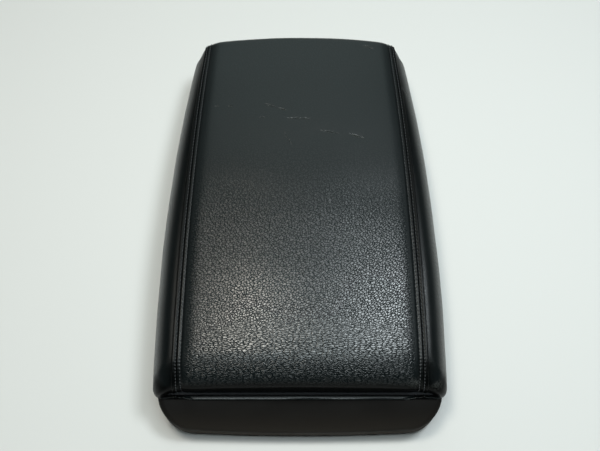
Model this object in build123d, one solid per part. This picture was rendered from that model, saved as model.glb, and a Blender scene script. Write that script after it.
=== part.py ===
"""Car centre armrest: a padded, leather-covered console lid with a lift latch and a rear hinge.

Frame: X to the right, Y from the front lip to the rear hinge, Z up. The origin is the centre of
the four hinge bolts, on the face that meets the console. All lengths are in millimetres.
"""

import os
from math import asin, atan2, cos, degrees, hypot, radians, sin, sqrt

from build123d import *

# Plan of the padded top
pad_length = 298.0
front_width = 197.0
rear_width = 175.5
side_bulge = 6.0
rear_bulge = 2.2
rear_corner_radius = 18.5

# Section of the padded top
pad_height = 36.0
cross_crown_radius = 560.0
long_crown_radius = 1500.0
front_roll_radius = 13.0
front_roll_break = 14.0
front_corner_radius = 4.0
shoulder_radius = 13.0

# Leather cover, foam and carrier plate
leather = 1.3
leather_fold = 11.0
foam_gap = 0.2
seam_gap = 0.3
seam_inset_front = 17.2
seam_inset_rear = 11.3
seam_bulge = 3.4
carrier_plate = 3.0
carrier_gap = 0.3
carrier_rib_depth = 2.0
carrier_rib_width = 2.0
carrier_rib_pitch = 36.0

# Staples
staple_crown = 10.0
staple_wire = 0.7
staple_leg = 4.0
staple_inset = 8.5
staple_pitch = 42.0
staple_relief = 1.0

# Lower shell
shell_height = 22.0
shell_wall = 2.5
shell_inset = 2.0
shell_edge_radius = 4.0
shell_bottom_radius = 2.4
lip_reach = 20.5
lip_bulge = 3.0
lip_corner_radius = 24.0
lip_overrun = 2.0
lip_low_height = 4.0
recess_depth = 16.0

# Screws that join the shell to the carrier
screw_shank = 3.5
screw_head = 7.0
screw_head_height = 2.4
screw_length = 12.0
boss_diameter = 9.0
boss_side_distance = 18.0
boss_front_distance = 40.0
boss_rear_distance = 30.0
boss_drop = 6.0
boss_seat = 3.0
counterbore = 7.8

# Rubber bump stops
stop_height = 4.0
stop_diameter = 14.0
stop_stem = 6.0
stop_bead = 7.0
stop_bead_tip = 4.0
stop_bead_height = 2.0
stop_front_distance = 68.0
stop_rear_distance = 62.0

# Hinge
pin_diameter = 6.0
pin_height = 12.0
pin_from_rear = 16.0
pin_head_diameter = 10.0
pin_head_height = 2.0
pin_tail = 4.0
clip_diameter = 9.5
clip_mouth = 3.8
clip_thickness = 0.8
clip_groove_depth = 0.6
bolts_from_pin = 26.0
bolt_spacing_x = 60.0
bolt_spacing_y = 28.0
bolt_hole = 6.5
bolt_edge = 8.0
bracket_sheet = 2.5
bracket_span = 72.0
bracket_ear_radius = 8.0
bracket_web = 22.0
bracket_lid_reach = 40.0
bracket_clearance = 1.5
bush_outer = 9.0
bush_flange = 13.0
bush_flange_thickness = 1.0
hinge_side_gap = 0.5
pocket_side_gap = 10.0
pocket_front_gap = 4.0
hinge_screw_shank = 5.0
hinge_screw_head = 9.0
hinge_screw_head_height = 2.8
hinge_screw_length = 11.0
hinge_screw_spacing_x = 44.0
hinge_screw_spacing_y = 20.0
hinge_boss_diameter = 11.0

# Latch
latch_pin_diameter = 4.0
latch_pin_head = 6.5
latch_pin_head_height = 1.5
latch_pivot_back = 6.0
latch_pivot_drop = 12.5
latch_width = 40.0
latch_cheek = 3.0
latch_cheek_reach = 14.0
latch_cheek_margin = 1.0
latch_plate = 3.0
latch_plate_width = 72.0
latch_plate_drop = 17.0
latch_screw_spacing = 58.0
latch_screw_drop = 8.0
latch_screw_length = 10.0
lever_barrel = 8.0
lever_barrel_length = 28.0
lever_side_gap = 0.4
lever_tongue_reach = 17.0
lever_tongue_thickness = 2.6
lever_tongue_drop = 3.0
lever_tip_radius = 1.15
lever_hook_width = 12.0
lever_hook_thickness = 4.0
lever_hook_chamfer = 1.0
lever_hook_drop = 11.0
lever_hook_nose = 5.0
lever_hook_nose_height = 3.0
spring_wire = 0.8
spring_end_gap = 1.4
spring_radius = 3.1
spring_turns = 4
spring_leg_drop = 28.0
spring_leg = 9.0

# Fits, and limits for picking out edges
slip = 0.05
running = 0.05
seat = 0.3
tiny = 0.01
upright = 0.9

# Places worked out from the sizes above
pin_y = bolts_from_pin
rear_y = pin_y + pin_from_rear
front_y = rear_y - pad_length
mid_y = (front_y + rear_y) / 2
rear_side_y = rear_y - rear_bulge
lip_y = front_y - lip_reach
shell_floor_z = stop_height
rim_z = stop_height + shell_height
crown_z = rim_z + pad_height
carrier_z = rim_z + leather
carrier_top_z = carrier_z + carrier_plate
boss_joint_z = rim_z - boss_drop
recess_back_y = front_y + recess_depth
recess_roof_z = rim_z - staple_relief - shell_wall
side_cut_reach = front_width + side_bulge

# Side arc: a circle through both ends of the side that stands side_bulge outside their chord
side_run = rear_side_y - front_y
side_taper = (front_width - rear_width) / 2
side_chord = hypot(side_run, side_taper)
side_radius = (side_chord ** 2 / 4 + side_bulge ** 2) / (2 * side_bulge)
side_lean = atan2(side_taper, side_run)
side_center_x = (front_width + rear_width) / 4 - (side_radius - side_bulge) * cos(side_lean)
side_center_y = (front_y + rear_side_y) / 2 - (side_radius - side_bulge) * sin(side_lean)


def side_x(y, inset=0.0):
    """Half width of the plan at a station along Y."""
    return side_center_x + sqrt((side_radius - inset) ** 2 - (y - side_center_y) ** 2)


def side_arc(y_from, y_to, inset, side):
    """Side of the plan between two stations; side is 1 on the right and -1 on the left."""
    stations = (y_from, (y_from + y_to) / 2, y_to)
    return ThreePointArc(*[(side * side_x(y, inset), y) for y in stations])


def corner_vertices(face, y_low, y_high):
    return [v for v in face.vertices() if y_low - tiny < v.Y < y_high + tiny]


def rounded_plan(front, front_side, rear, rear_side, inset, front_radius, rear_radius):
    """Closed outline: bowed front and rear ends between the two curved sides."""
    front_half = side_x(front_side, inset)
    rear_half = side_x(rear_side, inset)
    if front == front_side:
        front_end = Line((-front_half, front), (front_half, front))
    else:
        front_end = ThreePointArc((-front_half, front_side), (0, front), (front_half, front_side))
    edges = [
        front_end,
        side_arc(front_side, rear_side, inset, 1),
        ThreePointArc((rear_half, rear_side), (0, rear), (-rear_half, rear_side)),
        side_arc(rear_side, front_side, inset, -1),
    ]
    face = make_face(edges)
    if front_radius:
        face = fillet(corner_vertices(face, front, mid_y), front_radius)
    return fillet(corner_vertices(face, mid_y, rear), rear_radius)


def pad_plan(inset=0.0, front=front_y, front_radius=0.0):
    """Outline of the padded top, moved inwards by an inset, from a front line backwards."""
    front += inset
    rear = rear_y - inset
    rear_radius = rear_corner_radius - inset
    return rounded_plan(front, front, rear, rear - rear_bulge, inset, front_radius, rear_radius)


def shell_plan(inset=0.0):
    """Outline of the lower shell, with the finger lip standing out in front of the padded top."""
    lip_front = lip_y + inset
    inset += shell_inset
    lip_radius = lip_corner_radius - inset + shell_inset
    rear_radius = rear_corner_radius - inset
    rear = rear_y - inset
    return rounded_plan(
        lip_front, lip_front + lip_bulge, rear, rear - rear_bulge, inset, lip_radius, rear_radius
    )


def crown_height(y):
    """Height of the crowned top along its middle line, before the front edge rolls down."""
    return crown_z - long_crown_radius + sqrt(long_crown_radius ** 2 - (y - mid_y) ** 2)


def turned_across(profile):
    """Side profile turned about a long axis far below, which crowns it across the width."""
    axis_z = crown_z - cross_crown_radius
    axis = Axis((0, 0, axis_z), (0, 1, 0))
    half_angle = degrees(asin(side_cut_reach / (shell_floor_z - axis_z)))
    return revolve((Plane.YZ * profile).rotate(axis, -half_angle), axis, 2 * half_angle)


def crown_space(inset):
    """Space below the crowned top."""
    front = front_y - pad_height
    rear = rear_y + pad_height
    top = ThreePointArc(
        (front, crown_height(front) - inset),
        (mid_y, crown_z - inset),
        (rear, crown_height(rear) - inset),
    )
    rest = Polyline(top @ 1, (rear, shell_floor_z), (front, shell_floor_z), top @ 0)
    return turned_across(make_face([top, rest]))


def roll_space(inset):
    """Space behind the front edge, which rolls down from the crown to the rim."""
    center_y = front_y + front_roll_radius
    center_z = crown_height(center_y) - front_roll_radius
    crown_slope = asin((mid_y - center_y) / long_crown_radius)
    slope = crown_slope + radians(front_roll_break)
    radius = front_roll_radius - inset
    front = front_y + inset
    rear = rear_y + pad_height
    top = (center_y - radius * sin(slope), center_z + radius * cos(slope))
    beyond = (top[0] + 2 * pad_height * cos(slope), top[1] + 2 * pad_height * sin(slope))
    lines = [
        Line((front, shell_floor_z), (front, center_z)),
        TangentArc((front, center_z), top, tangent=(0, 1)),
        Polyline(top, beyond, (rear, beyond[1]), (rear, shell_floor_z), (front, shell_floor_z)),
    ]
    return turned_across(make_face(lines))


def pad_form(inset, floor_z):
    """Padded top as a solid, moved inwards by an inset, from a level floor upwards."""
    plan = pad_plan(inset, front_y - pad_height / 2)
    block = extrude(Pos(0, 0, floor_z) * plan, crown_z - floor_z)
    body = block & crown_space(inset)
    front = min(v.Y for v in plan.vertices())
    wall_edges = [e for e in plan.edges() if (e @ 0.5).Y > front + tiny]
    wall = Compound([Face.extrude(e, (0, 0, crown_z)) for e in wall_edges])
    above = [e for e in body.edges() if (e @ 0.5).Z > floor_z + tiny]
    level = [e for e in above if abs((e % 0.5).Z) < upright]
    shoulder = [e for e in level if wall.distance_to(e @ 0.5) < tiny]
    body = fillet(shoulder, shoulder_radius - inset) & roll_space(inset)
    near_front = [e for e in body.edges() if (e @ 0.5).Y < front_y + front_roll_radius + inset]
    side_reach = front_width / 2 - shoulder_radius
    corners = [e for e in near_front if abs((e @ 0.5).X) > side_reach and (e @ 0.5).Z > floor_z + tiny]
    return fillet(corners, front_corner_radius - inset)


def seam_region(half_gap):
    """Plan area between the two seams, moved in or out by half the seam gap."""
    front = front_y - shell_height
    rear = rear_y + shell_height
    front_half = front_width / 2 - seam_inset_front + half_gap
    rear_half = rear_width / 2 - seam_inset_rear + half_gap
    middle_half = (front_half + rear_half) / 2 + seam_bulge
    edges = [
        Line((-front_half, front), (front_half, front)),
        ThreePointArc((front_half, front), (middle_half, mid_y), (rear_half, rear)),
        Line((rear_half, rear), (-rear_half, rear)),
        ThreePointArc((-rear_half, rear), (-middle_half, mid_y), (-front_half, front)),
    ]
    return make_face(edges)


def upright_cylinder(x, y, diameter, z_low, z_high):
    return extrude(Pos(x, y, z_low) * Circle(diameter / 2), z_high - z_low)


def cross_cylinder(y, z, diameter, x_low, x_high):
    """Cylinder along X between two places."""
    section = Plane((x_low, y, z), x_dir=(0, 1, 0), z_dir=(1, 0, 0)) * Circle(diameter / 2)
    return extrude(section, x_high - x_low)


def cross_slab(sketch, x_low, x_high):
    """Sketch drawn with Y across and Z up, as a slab between two places along X."""
    plane = Plane((x_low, 0, 0), x_dir=(0, 1, 0), z_dir=(1, 0, 0))
    return extrude(plane * sketch, x_high - x_low, dir=(1, 0, 0))


def block_between(low, high):
    size = [b - a for a, b in zip(low, high)]
    return Pos(*low) * Box(*size, align=(Align.MIN, Align.MIN, Align.MIN))


def corner_points():
    """Screw bosses along both sides: front, middle and rear."""
    points = []
    for side in (-1, 1):
        for y in (front_y + boss_front_distance, mid_y, rear_y - boss_rear_distance):
            points.append((side * (side_x(y) - boss_side_distance), y))
    return points


def hinge_screw_points():
    """Screws that carry the lid's hinge bracket."""
    rear_row_y = pin_y - bracket_web / 2
    return [
        (side * hinge_screw_spacing_x / 2, rear_row_y - row * hinge_screw_spacing_y)
        for side in (-1, 1)
        for row in (0, 1)
    ]


# Hinge places along X: lid ears stand inside the base ears
lid_ear_out = bracket_span / 2 + bracket_sheet
base_ear_in = lid_ear_out + bush_flange_thickness + hinge_side_gap
base_ear_out = base_ear_in + bracket_sheet
pocket_half = base_ear_out + pocket_side_gap
lid_plate_top = pin_height + bracket_ear_radius + bracket_clearance
lid_plate_z = lid_plate_top - bracket_sheet
base_front_y = -bolt_spacing_y / 2 - bolt_edge
pocket_front_y = base_front_y - pocket_front_gap
pocket_roof_z = lid_plate_top + shell_wall


def staple_places():
    """Staples round the turned-under leather, each with its place and its heading."""
    path = pad_plan(staple_inset).face().outer_wire()
    count = int(path.length / staple_pitch)
    places = []
    for index in range(count):
        share = (index + 0.5) / count
        heading = path % share
        places.append((path @ share, degrees(atan2(heading.Y, heading.X))))
    return places


def staples():
    crown = Box(staple_crown, staple_wire, staple_wire, align=(Align.CENTER, Align.CENTER, Align.MAX))
    leg = Box(staple_wire, staple_wire, staple_leg, align=(Align.CENTER, Align.CENTER, Align.MIN))
    leg_x = (staple_crown - staple_wire) / 2
    staple = crown + [Pos(side * leg_x, 0, 0) * leg for side in (-1, 1)]
    return [Pos(p.X, p.Y, rim_z) * Rot(0, 0, turn) * staple for p, turn in staple_places()]


def leather_cover():
    skin = pad_form(0.0, rim_z) - pad_form(leather, carrier_z)
    return skin - extrude(Pos(0, 0, rim_z) * pad_plan(leather_fold), leather)


def carrier():
    """Stiff plate with screw bosses and a row of ribs below it."""
    inset = leather + carrier_gap
    plan = pad_plan(inset, front_radius=front_corner_radius - inset)
    plate = extrude(Pos(0, 0, carrier_z) * plan, carrier_plate)
    rib_length = pad_length - boss_front_distance - boss_rear_distance
    rib_count = int((side_x(rear_side_y) - leather_fold) / carrier_rib_pitch)
    for index in range(-rib_count + 1, rib_count):
        x = index * carrier_rib_pitch
        rib_y = mid_y - rib_length / 2
        low = (x - carrier_rib_width / 2, rib_y, carrier_z - carrier_rib_depth)
        plate += block_between(low, (x + carrier_rib_width / 2, rib_y + rib_length, carrier_z))
    for x, y in corner_points():
        plate += upright_cylinder(x, y, boss_diameter, boss_joint_z, carrier_z)
    for x, y in hinge_screw_points():
        plate += upright_cylinder(x, y, hinge_boss_diameter, pocket_roof_z, carrier_z)
    for x, y in corner_points():
        pilot = screw_shank + 2 * slip
        plate -= upright_cylinder(x, y, pilot, boss_joint_z, boss_joint_z + screw_length)
    for x, y in hinge_screw_points():
        pilot = hinge_screw_shank + 2 * slip
        plate -= upright_cylinder(x, y, pilot, pocket_roof_z, lid_plate_z + hinge_screw_length)
    return plate


def screw(shank, length, head, head_height):
    """Pan-head screw pointing up, its head's seat at the origin."""
    body = extrude(Circle(shank / 2), length)
    cap = extrude(Circle(head / 2), -head_height)
    rim = cap.edges().filter_by(GeomType.CIRCLE).sort_by(Axis.Z)[0]
    return body + fillet(rim, head_height / 3)


def lip_profile(inset):
    """Side profile of the shell: a flat rim that rolls down over the lip."""
    low_z = shell_floor_z - shell_height
    lip_radius = lip_reach + lip_overrun - inset
    nose_z = shell_floor_z + lip_low_height
    roll = EllipticalCenterArc((front_y, nose_z), lip_radius, rim_z - inset - nose_z, 90, arc_size=90)
    nose = front_y - lip_radius
    rest = Polyline(
        (nose, nose_z),
        (nose, low_z),
        (rear_y + shell_height, low_z),
        (rear_y + shell_height, rim_z - inset),
        (front_y, rim_z - inset),
    )
    return make_face([roll, rest])


def shell():
    """Moulded lower shell: a tray with a finger lip in front and a hinge pocket behind."""
    outer = extrude(Pos(0, 0, shell_floor_z) * shell_plan(), shell_height)
    outer &= cross_slab(lip_profile(0.0), -side_cut_reach, side_cut_reach)
    outer = fillet(outer.faces().sort_by(Axis.Z)[0].edges(), shell_bottom_radius)
    lip_edges = [e for e in outer.edges() if (e @ 0.5).Z > shell_floor_z + lip_low_height]
    lip_edges = [e for e in lip_edges if abs((e @ 0.5).X) < tiny and (e @ 0.5).Y < front_y - tiny]
    outer = fillet(lip_edges, shell_edge_radius)

    inner_plan = shell_plan(shell_wall)
    tray_front_y = recess_back_y + shell_wall
    tray = extrude(Pos(0, 0, shell_floor_z + shell_wall) * inner_plan, shell_height)
    tray &= block_between(
        (-side_cut_reach, tray_front_y, shell_floor_z), (side_cut_reach, rear_y, crown_z)
    )
    tray -= block_between(
        (-pocket_half - shell_wall, pocket_front_y - shell_wall, shell_floor_z),
        (pocket_half + shell_wall, rear_y, pocket_roof_z),
    )
    recess = extrude(inner_plan, rim_z)
    recess &= cross_slab(lip_profile(shell_wall), -side_cut_reach, side_cut_reach)
    recess &= block_between((-side_cut_reach, lip_y, 0), (side_cut_reach, recess_back_y, recess_roof_z))
    relief = extrude(Pos(0, 0, rim_z - staple_relief) * inner_plan, staple_relief)
    relief &= block_between(
        (-side_cut_reach, front_y + shell_inset + shell_wall, shell_floor_z),
        (side_cut_reach, tray_front_y, crown_z),
    )
    pocket = block_between((-pocket_half, pocket_front_y, 0), (pocket_half, rear_y, lid_plate_top))
    body = outer - tray - recess - relief - pocket

    boss_floor = shell_floor_z + shell_wall / 2
    for x, y in corner_points():
        body += upright_cylinder(x, y, boss_diameter + 2 * shell_wall, boss_floor, boss_joint_z)
    for plane in latch_screw_planes(tray_front_y):
        body += extrude(plane * Circle(boss_diameter / 2), latch_screw_length)
    for x, y in corner_points():
        body -= upright_cylinder(x, y, counterbore, 0, boss_joint_z - boss_seat)
        body -= upright_cylinder(x, y, screw_shank + 2 * slip, 0, boss_joint_z)
    for x, y in hinge_screw_points():
        body -= upright_cylinder(x, y, hinge_screw_shank + 2 * slip, lid_plate_top, pocket_roof_z)
    for _, x, y in stop_places():
        body -= upright_cylinder(x, y, stop_stem + 2 * slip, 0, shell_floor_z + shell_wall)
    for plane in latch_screw_planes(recess_back_y):
        body -= extrude(plane * Circle(screw_shank / 2 + slip), latch_screw_length)
    return body


def stop_places():
    """Bump stops: two behind the lip, two beside the hinge pocket."""
    front_stop_y = front_y + stop_front_distance
    rear_stop_y = rear_y - stop_rear_distance
    front_x = side_x(front_stop_y) - shell_inset - shell_wall - stop_diameter
    rear_x = (pocket_half + side_x(rear_stop_y) - shell_inset) / 2
    return [
        ("bump_stop_front_left", -front_x, front_stop_y),
        ("bump_stop_front_right", front_x, front_stop_y),
        ("bump_stop_rear_left", -rear_x, rear_stop_y),
        ("bump_stop_rear_right", rear_x, rear_stop_y),
    ]


def bump_stop():
    """Domed rubber foot with a stem that snaps through the shell floor."""
    foot = extrude(Circle(stop_diameter / 2), stop_height)
    low_rim = foot.edges().filter_by(GeomType.CIRCLE).sort_by(Axis.Z)[0]
    foot = fillet(low_rim, stop_height / 4)
    bead_z = stop_height + shell_wall
    stem = upright_cylinder(0, 0, stop_stem, stop_height, bead_z + stop_bead_height)
    bead = Pos(0, 0, bead_z) * Cone(
        stop_bead / 2,
        stop_bead_tip / 2,
        stop_bead_height,
        align=(Align.CENTER, Align.CENTER, Align.MIN),
    )
    return foot + stem + bead


def ear(foot_z, foot_rear, hole):
    """Bracket ear round the hinge pin, drawn with Y across and Z up."""
    web = Polygon(
        (pin_y - bracket_web, foot_z),
        (pin_y + foot_rear, foot_z),
        (pin_y + bracket_ear_radius, pin_height),
        (pin_y - bracket_ear_radius, pin_height),
        align=None,
    )
    boss = Pos(pin_y, pin_height) * Circle(bracket_ear_radius)
    return web + boss - Pos(pin_y, pin_height) * Circle(hole / 2)


def lid_bracket():
    front = pin_y - bracket_lid_reach
    rear = pin_y + bracket_ear_radius
    plate = block_between((-lid_ear_out, front, lid_plate_z), (lid_ear_out, rear, lid_plate_top))
    corners = [e for e in plate.edges().filter_by(Axis.Z) if (e @ 0.5).Y < front + tiny]
    plate = fillet(corners, bracket_ear_radius / 2)
    side_ear = ear(lid_plate_top, bracket_ear_radius, bush_outer + 2 * slip)
    plate += cross_slab(side_ear, bracket_span / 2, lid_ear_out)
    plate += cross_slab(side_ear, -lid_ear_out, -bracket_span / 2)
    for x, y in hinge_screw_points():
        plate -= upright_cylinder(x, y, hinge_screw_shank + 2 * slip, lid_plate_z, lid_plate_top)
    return plate


def base_bracket():
    plate = block_between((-base_ear_out, base_front_y, 0), (base_ear_out, pin_y, bracket_sheet))
    corners = [e for e in plate.edges().filter_by(Axis.Z) if (e @ 0.5).Y < base_front_y + tiny]
    plate = fillet(corners, bracket_ear_radius / 2)
    side_ear = ear(0, 0, pin_diameter + 2 * slip)
    plate += cross_slab(side_ear, base_ear_in, base_ear_out)
    plate += cross_slab(side_ear, -base_ear_out, -base_ear_in)
    for x in (-bolt_spacing_x / 2, bolt_spacing_x / 2):
        for y in (-bolt_spacing_y / 2, bolt_spacing_y / 2):
            plate -= upright_cylinder(x, y, bolt_hole, 0, bracket_sheet)
    return plate


# The clip sits in its groove against the base ear
clip_x = base_ear_out + seat


def hinge_pin():
    tail = clip_x + clip_thickness + pin_tail
    pin = cross_cylinder(pin_y, pin_height, pin_diameter, -base_ear_out, tail)
    head_out = -base_ear_out - pin_head_height
    pin += cross_cylinder(pin_y, pin_height, pin_head_diameter, head_out, -base_ear_out)
    ends = pin.edges().filter_by(GeomType.CIRCLE).sort_by(Axis.X)
    pin = chamfer([ends[0], ends[-1]], pin_head_height / 4)
    groove = cross_cylinder(pin_y, pin_height, pin_head_diameter, clip_x, clip_x + clip_thickness)
    core = pin_diameter - 2 * clip_groove_depth
    return pin - (groove - cross_cylinder(pin_y, pin_height, core, clip_x, clip_x + clip_thickness))


def pin_clip():
    """Open spring clip in the pin's groove."""
    core = pin_diameter - 2 * clip_groove_depth + 2 * slip
    ring = Circle(clip_diameter / 2) - Circle(core / 2)
    ring -= Pos(0, -clip_diameter / 2) * Rectangle(clip_mouth, clip_diameter)
    return cross_slab(Pos(pin_y, pin_height) * ring, clip_x, clip_x + clip_thickness)


def hinge_bush(side):
    inner = side * bracket_span / 2
    outer = side * lid_ear_out
    flange = outer + side * bush_flange_thickness
    body = cross_cylinder(pin_y, pin_height, bush_outer, min(inner, outer), max(inner, outer))
    body += cross_cylinder(pin_y, pin_height, bush_flange, min(outer, flange), max(outer, flange))
    bore = pin_diameter + 2 * running
    return body - cross_cylinder(pin_y, pin_height, bore, min(inner, flange), max(inner, flange))


# Latch places
pivot_y = front_y + latch_pivot_back
pivot_z = rim_z - latch_pivot_drop
cheek_in = latch_width / 2
cheek_out = cheek_in + latch_cheek
latch_plate_y = recess_back_y - latch_plate


def latch_screw_planes(y):
    return [
        Plane((side * latch_screw_spacing / 2, y, rim_z - latch_screw_drop), z_dir=(0, 1, 0))
        for side in (-1, 1)
    ]


def latch_housing():
    """Back plate with two cheeks that carry the lever's pin."""
    low_z = recess_roof_z - latch_plate_drop
    plate = block_between(
        (-latch_plate_width / 2, latch_plate_y, low_z),
        (latch_plate_width / 2, recess_back_y, recess_roof_z),
    )
    low_corners = [e for e in plate.edges().filter_by(Axis.Y) if (e @ 0.5).Z < low_z + tiny]
    plate = fillet(low_corners, latch_plate)
    cheek_front = recess_back_y - latch_plate - latch_cheek_reach
    cheek = Polygon(
        (latch_plate_y, low_z),
        (latch_plate_y, recess_roof_z),
        (cheek_front, recess_roof_z),
        (cheek_front, pivot_z),
        (pivot_y, pivot_z - lever_barrel / 2 - latch_cheek_margin),
        align=None,
    )
    cheek -= Pos(pivot_y, pivot_z) * Circle(latch_pin_diameter / 2 + slip)
    plate += cross_slab(cheek, cheek_in, cheek_out)
    plate += cross_slab(cheek, -cheek_out, -cheek_in)
    for plane in latch_screw_planes(latch_plate_y):
        plate -= extrude(plane * Circle(screw_shank / 2 + slip), latch_plate)
    return plate


lever_left = -cheek_in + lever_side_gap
lever_right = cheek_in - lever_side_gap
barrel_right = lever_left + lever_barrel_length


def latch_lever():
    """Lift tongue and striker hook on one barrel."""
    barrel = cross_cylinder(pivot_y, pivot_z, lever_barrel, lever_left, barrel_right)
    top = pivot_z - lever_tongue_drop + lever_tongue_thickness
    tip_y = pivot_y - lever_tongue_reach
    blade = Polygon(
        (pivot_y, top),
        (tip_y, top - lever_tongue_drop),
        (tip_y, top - lever_tongue_drop - lever_tongue_thickness),
        (pivot_y, top - lever_tongue_thickness),
        align=None,
    )
    tongue = cross_slab(blade, lever_left, lever_right)
    spring_room = cross_cylinder(
        pivot_y, pivot_z, 2 * (spring_radius + spring_wire), barrel_right, cheek_in
    )
    tongue -= spring_room
    tip_edges = [e for e in tongue.edges().filter_by(Axis.X) if (e @ 0.5).Y < tip_y + tiny]
    tongue = fillet(tip_edges, lever_tip_radius)
    hook_z = pivot_z - lever_hook_drop
    half = lever_hook_thickness / 2
    hook = Polygon(
        (pivot_y - half, pivot_z),
        (pivot_y - half, hook_z + lever_hook_chamfer),
        (pivot_y - half + lever_hook_chamfer, hook_z),
        (pivot_y + half + lever_hook_nose / 2, hook_z),
        (pivot_y + half + lever_hook_nose, hook_z + lever_hook_nose_height),
        (pivot_y + half, hook_z + lever_hook_nose_height),
        (pivot_y + half, pivot_z),
        align=None,
    )
    lever = barrel + tongue + cross_slab(hook, -lever_hook_width / 2, lever_hook_width / 2)
    return lever - cross_cylinder(
        pivot_y, pivot_z, latch_pin_diameter + 2 * running, lever_left, lever_right
    )


def latch_pin():
    shank_end = cheek_out + latch_pin_head_height
    pin = cross_cylinder(pivot_y, pivot_z, latch_pin_diameter, -cheek_out, shank_end)
    head_out = -cheek_out - latch_pin_head_height
    pin += cross_cylinder(pivot_y, pivot_z, latch_pin_head, head_out, -cheek_out)
    ends = pin.edges().filter_by(GeomType.CIRCLE).sort_by(Axis.X)
    return chamfer([ends[0], ends[-1]], latch_pin_head_height / 4)


def latch_spring():
    """Torsion spring round the pin, beside the lever's barrel, with one leg to each piece."""
    turns = spring_turns + spring_leg_drop / 360
    coil_length = cheek_in - barrel_right - 2 * spring_end_gap - spring_wire
    coil_axis = Plane((0, 0, 0), x_dir=(0, 0, 1), z_dir=(1, 0, 0))
    coil = coil_axis * Helix(coil_length / turns, coil_length, spring_radius)
    first = Plane(coil @ 0, z_dir=coil % 0) * Circle(spring_wire / 2)
    last = Plane(coil @ 1, z_dir=coil % 1) * Circle(spring_wire / 2)
    rear_leg = extrude(first, pivot_y - latch_plate_y + seat)
    spring = sweep(first, coil, is_frenet=True) + rear_leg + extrude(last, spring_leg)
    return Pos(barrel_right + spring_end_gap + spring_wire / 2, pivot_y, pivot_z) * spring


def latch_screws():
    seat_planes = latch_screw_planes(latch_plate_y)
    length = latch_screw_length + shell_wall
    return [plane * screw(screw_shank, length, screw_head, screw_head_height) for plane in seat_planes]


def split_cover():
    """Leather cover cut along both seams into the top panel and two side panels."""
    cover = leather_cover()
    for staple in staples():
        cover -= staple
    low = rim_z - leather
    high = pad_height + 2 * leather
    middle = extrude(Pos(0, 0, low) * seam_region(-seam_gap / 2), high)
    beyond = extrude(Pos(0, 0, low) * seam_region(seam_gap / 2), high)
    sides = cover - beyond
    left = [s for s in sides.solids() if s.center().X < 0]
    right = [s for s in sides.solids() if s.center().X > 0]
    return cover & middle, left, right


def all_nodes():
    top_panel, left_panel, right_panel = split_cover()
    plate = carrier()
    for staple in staples():
        plate -= staple
    shell_screw = screw(screw_shank, screw_length, screw_head, screw_head_height)
    nodes = {
        "top_panel": top_panel,
        "left_side_panel": left_panel,
        "right_side_panel": right_panel,
        "foam_pad": pad_form(leather + foam_gap, carrier_top_z + foam_gap),
        "pad_carrier": plate,
        "cover_staples": staples(),
        "lower_shell": shell(),
        "shell_screws": [
            Pos(x, y, boss_joint_z - boss_seat) * shell_screw
            for x, y in corner_points()
        ],
        "hinge_lid_bracket": lid_bracket(),
        "hinge_base_bracket": base_bracket(),
        "hinge_pin": hinge_pin(),
        "hinge_pin_clip": pin_clip(),
        "hinge_bush_left": hinge_bush(-1),
        "hinge_bush_right": hinge_bush(1),
        "hinge_screws": [
            Pos(x, y, lid_plate_z)
            * screw(hinge_screw_shank, hinge_screw_length, hinge_screw_head, hinge_screw_head_height)
            for x, y in hinge_screw_points()
        ],
        "latch_housing": latch_housing(),
        "latch_lever": latch_lever(),
        "latch_pin": latch_pin(),
        "latch_spring": latch_spring(),
        "latch_screws": latch_screws(),
    }
    for name, x, y in stop_places():
        nodes[name] = Pos(x, y, 0) * bump_stop()
    return nodes


def solids_of(shape):
    shapes = shape if isinstance(shape, list) else [shape]
    return [solid for one in shapes for solid in one.solids()]


os.makedirs("parts", exist_ok=True)
for node, shape in all_nodes().items():
    solids = solids_of(shape)
    piece = solids[0] if len(solids) == 1 else Compound(children=solids)
    export_step(piece, f"parts/{node}.step")
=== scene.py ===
"""Looks of the car centre armrest: leather cover, stitching, foam, mouldings, metal and studio.

All lengths are in metres, in the frame of the part: X to the right, Y from the front lip to the
rear hinge, Z up.
"""

from math import atan2, cos, hypot, pi, radians, sin

import bmesh
import bpy
import numpy as np
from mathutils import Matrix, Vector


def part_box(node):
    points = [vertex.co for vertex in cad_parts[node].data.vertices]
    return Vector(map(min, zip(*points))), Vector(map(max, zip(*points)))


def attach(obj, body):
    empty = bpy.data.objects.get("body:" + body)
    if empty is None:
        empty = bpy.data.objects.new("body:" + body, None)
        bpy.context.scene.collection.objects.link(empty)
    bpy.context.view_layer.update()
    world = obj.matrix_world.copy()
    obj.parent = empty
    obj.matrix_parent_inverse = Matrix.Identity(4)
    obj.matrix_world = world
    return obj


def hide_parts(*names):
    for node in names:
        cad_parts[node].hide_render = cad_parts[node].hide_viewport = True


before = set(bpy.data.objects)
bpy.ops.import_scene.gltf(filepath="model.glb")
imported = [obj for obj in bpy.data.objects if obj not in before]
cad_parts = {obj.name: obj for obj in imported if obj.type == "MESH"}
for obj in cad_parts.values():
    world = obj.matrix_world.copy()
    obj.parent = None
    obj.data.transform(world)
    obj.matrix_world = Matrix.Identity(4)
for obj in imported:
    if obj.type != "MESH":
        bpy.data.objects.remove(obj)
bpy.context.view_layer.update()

bl_info = {
    "name": "Car centre armrest",
    "version": (1, 0, 0),
    "blender": (4, 5, 0),
    "location": "3D View > Sidebar > Armrest",
    "description": "Leather cover, stitching, foam and finishes of a car centre armrest",
    "category": "Object",
}

# Places that the solids give
top_low, top_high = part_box("top_panel")
front_y, rear_y = top_low.y, top_high.y
mid_y = (front_y + rear_y) / 2
rim_z, crown_z = top_low.z, top_high.z
foam_low, foam_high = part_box("foam_pad")

seed = 11

# Unevenness of the foam under the leather
wave_count = 9
wave_lengths = (0.03, 0.09)
wave_height = 0.00005

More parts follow.
